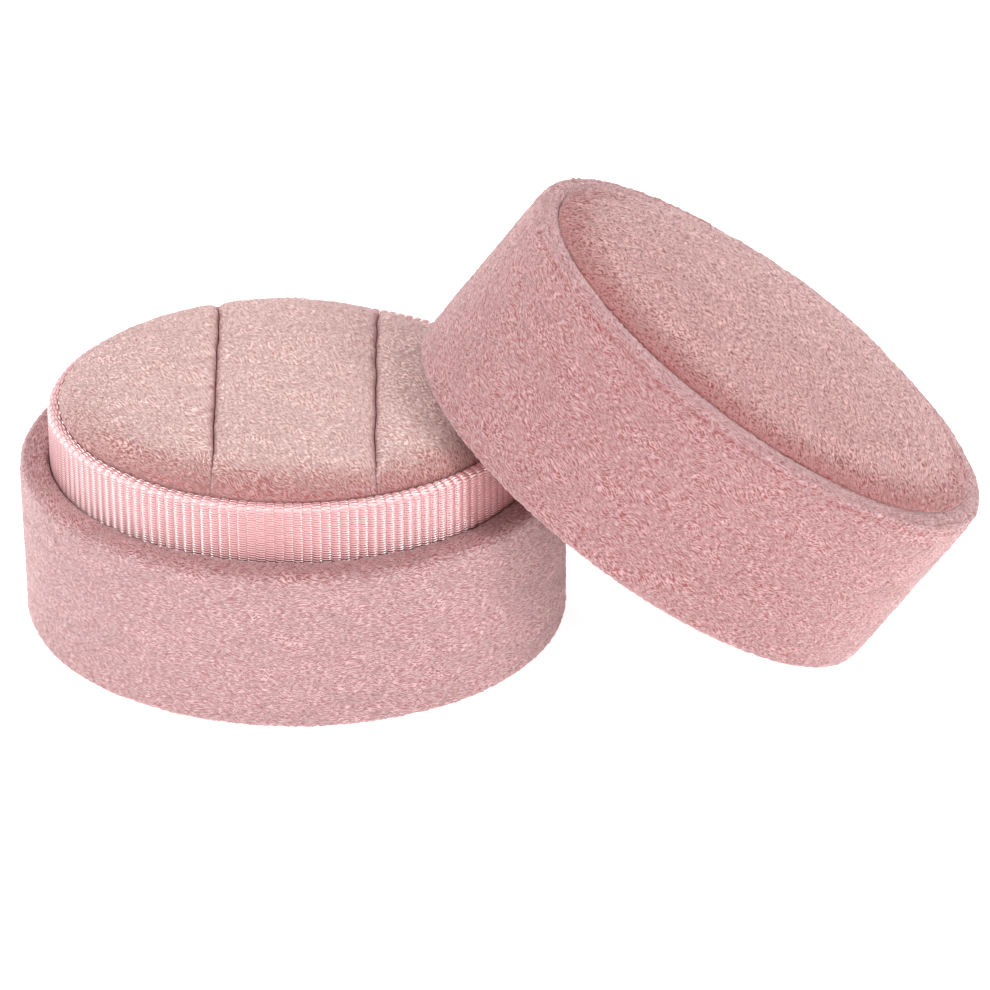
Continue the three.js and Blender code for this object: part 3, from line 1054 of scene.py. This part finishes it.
def ribbon_satin(name):
    """Grosgrain ribbon: bright threads cross its ribs, and take turns from one rib to the next."""
    material, tree = new_material(name)
    run, rib, parity = attribute(tree, "run"), attribute(tree, "rib"), attribute(tree, "parity")
    phase = summed(tree, (run, 2 * math.pi / THREAD_PITCH), (parity, math.pi))
    threads = add(tree, "Math", {0: phase}, operation="SINE").outputs[0]
    thread = ranged(tree, threads, -1, 1)
    patches = grain(tree, 3.0)
    # Painted shade: the colour is darker in the grooves between ribs and between threads, lighter on
    # their crests; patches are the ribbon's own uneven tone.
    share = summed(tree, (thread, 0.25), (rib, 0.3), (patches, 0.45))
    colour = mixed(tree, share, rgb(206, 122, 126), rgb(233, 164, 166))
    relief = add(tree, "Bump", {"Height": thread, "Strength": 1.0, "Distance": 0.16 * MM})
    shader = add(
        tree,
        "BsdfPrincipled",
        {
            "Base Color": colour,
            "Roughness": ranged(tree, thread, 0, 1, 0.3, 0.18),
            "IOR": 2.0,
            "Specular IOR Level": 1.0,
            "Coat Weight": 1.0,
            "Coat IOR": 1.9,
            "Coat Roughness": 0.14,
            "Normal": relief.outputs[0],
            "Coat Normal": relief.outputs[0],
        },
    )
    return finish_material(material, tree, shader)


def grey_card(name):
    """Bookbinder's card: pressed fibres with flecks."""
    material, tree = new_material(name)
    fibres = grain(tree, 0.5, detail=4.0, bend=0.8, stretch=(3, 1, 1), turn=(0.2, 0.1, 0.6))
    flecks = grain(tree, 0.9, detail=1.0)
    share = summed(tree, (fibres, 0.8), (flecks, 0.3))
    colour = mixed(tree, share, rgb(196, 186, 172), rgb(236, 230, 219))
    relief = add(tree, "Bump", {"Height": fibres, "Strength": 0.3, "Distance": 0.1 * MM})
    inputs = {"Base Color": colour, "Roughness": ranged(tree, fibres, 0, 1, 0.75, 0.95)}
    shader = add(tree, "BsdfPrincipled", {**inputs, "Normal": relief.outputs[0]})
    return finish_material(material, tree, shader)


def cream_foam(name):
    """Open-cell foam: small pores in a cream body."""
    material, tree = new_material(name)
    coordinates = add(tree, "TexCoord").outputs["Object"]
    cells = add(tree, "TexVoronoi", {"Vector": coordinates, "Scale": 1 / (0.6 * MM)}).outputs["Distance"]
    tone = grain(tree, 5.0)
    share = summed(tree, (cells, 0.7), (tone, 0.4))
    colour = mixed(tree, share, rgb(226, 214, 190), rgb(248, 243, 230))
    relief = add(tree, "Bump", {"Height": cells, "Strength": 0.5, "Distance": 0.2 * MM})
    inputs = {"Base Color": colour, "Roughness": ranged(tree, cells, 0, 1, 0.8, 1.0)}
    shader = add(tree, "BsdfPrincipled", {**inputs, "Normal": relief.outputs[0]})
    return finish_material(material, tree, shader)


def paint(made, material):
    made.data.materials.clear()
    made.data.materials.append(material)


# ---------------------------------------------------------------- camera, light and floor

LOOK_AT = Vector((27.72, 0, 19.56)) * MM
CAMERA_DISTANCE = 0.8888
CAMERA_RISE = math.radians(38.13)
CAMERA_TURN = math.radians(1.32)
CAMERA_LENS = 234.4


def place_camera():
    back = Vector(
        (
            math.sin(CAMERA_TURN) * math.cos(CAMERA_RISE),
            -math.cos(CAMERA_TURN) * math.cos(CAMERA_RISE),
            math.sin(CAMERA_RISE),
        )
    )
    data = bpy.data.cameras.new("camera")
    data.lens = CAMERA_LENS
    data.sensor_width = 36
    data.clip_start = 0.01
    camera = bpy.data.objects.new("camera", data)
    camera.location = LOOK_AT + back * CAMERA_DISTANCE
    camera.rotation_euler = back.to_track_quat("Z", "Y").to_euler()
    bpy.context.scene.collection.objects.link(camera)
    bpy.context.scene.camera = camera


def soft_light(name, location, size, power):
    data = bpy.data.lights.new(name, "AREA")
    data.shape = "RECTANGLE"
    data.size, data.size_y = size
    data.energy = power
    light = bpy.data.objects.new(name, data)
    light.location = location
    light.rotation_euler = (Vector(location) - LOOK_AT).to_track_quat("Z", "Y").to_euler()
    bpy.context.scene.collection.objects.link(light)


def light_scene():
    world = bpy.data.worlds.new("studio")
    world.use_nodes = True
    world.node_tree.nodes["Background"].inputs["Color"].default_value = (1, 1, 1, 1)
    world.node_tree.nodes["Background"].inputs["Strength"].default_value = 0.8
    bpy.context.scene.world = world
    soft_light("left", (-0.82, -0.30, 0.60), (0.24, 0.7), 4.8)
    soft_light("right", (0.66, -0.53, 0.64), (0.22, 0.6), 4.6)
    soft_light("low", (0.58, -0.80, 0.18), (0.3, 0.3), 2.3)
    soft_light("above", (-0.45, 0.55, 0.85), (0.8, 0.6), 5.2)
    bpy.context.scene.view_settings.view_transform = "Standard"


def lay_floor():
    size = 3.0
    corners = [(x * size, y * size, -0.0001) for x, y in ((-1, -1), (1, -1), (1, 1), (-1, 1))]
    mesh = bpy.data.meshes.new("floor")
    mesh.from_pydata(corners, [], [(0, 1, 2, 3)])
    floor = bpy.data.objects.new("floor", mesh)
    bpy.context.scene.collection.objects.link(floor)
    material, tree = new_material("floor_paper")
    inputs = {"Base Color": (0.93, 0.93, 0.93, 1), "Roughness": 0.9, "Specular IOR Level": 0.1}
    inputs.update({"Emission Color": (1, 1, 1, 1), "Emission Strength": 0.68})
    shader = add(tree, "BsdfPrincipled", inputs)
    paint(floor, finish_material(material, tree, shader))


# ---------------------------------------------------------------- the scene


def lid_place():
    """The lid's own frame: how it leans, and the centre of its opening."""
    turn = Matrix.Rotation(LID_ROLL, 4, "X") @ Matrix.Rotation(LID_LEAN, 4, "Y")
    turn = turn @ Matrix.Rotation(LID_TURN, 4, "Z")
    low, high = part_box("lid_wall_velvet")
    middle = (low + high) / 2
    return Matrix.Translation(middle - turn @ Vector((0, 0, LID_HEIGHT / 2 * MM))) @ turn


place_camera()
light_scene()
lay_floor()

case_velvet = velvet("case_velvet", rgb(128, 52, 57), rgb(196, 158, 160), turn=-0.3, contrast=1.9)
pad_velvet = velvet("pad_velvet", rgb(134, 70, 65), rgb(225, 194, 189), turn=-0.95, contrast=1.6)
dome_velvet = velvet(
    "dome_velvet", rgb(100, 30, 31), rgb(206, 160, 157), width=0.14, turn=-0.6, contrast=2.8
)
lining_velvet = velvet("lining_velvet", rgb(178, 122, 122), rgb(228, 186, 184))
ribbon = ribbon_satin("ribbon")
card = grey_card("grey_card")
foam = cream_foam("cream_foam")

leaning = lid_place()
paint(build_base_velvet(), case_velvet)
paint(build_lid_velvet(leaning), case_velvet)
paint(build_bottom_cover(), case_velvet)
for part in build_ribbon():
    paint(part, ribbon)
paint(build_ring_pad(), pad_velvet)
paint(build_cushion(leaning), dome_velvet)
paint(build_lining_wall(leaning), lining_velvet)
paint(build_ceiling(leaning), lining_velvet)
paint(build_riser_foam(), foam)
for board in ("base_floor_board", "base_wall_core", "neck_band_core", "pad_support_card"):
    paint(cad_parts[board], card)
for board in ("lid_wall_core", "lid_top_board", "lid_cushion_card"):
    paint(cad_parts[board], card)
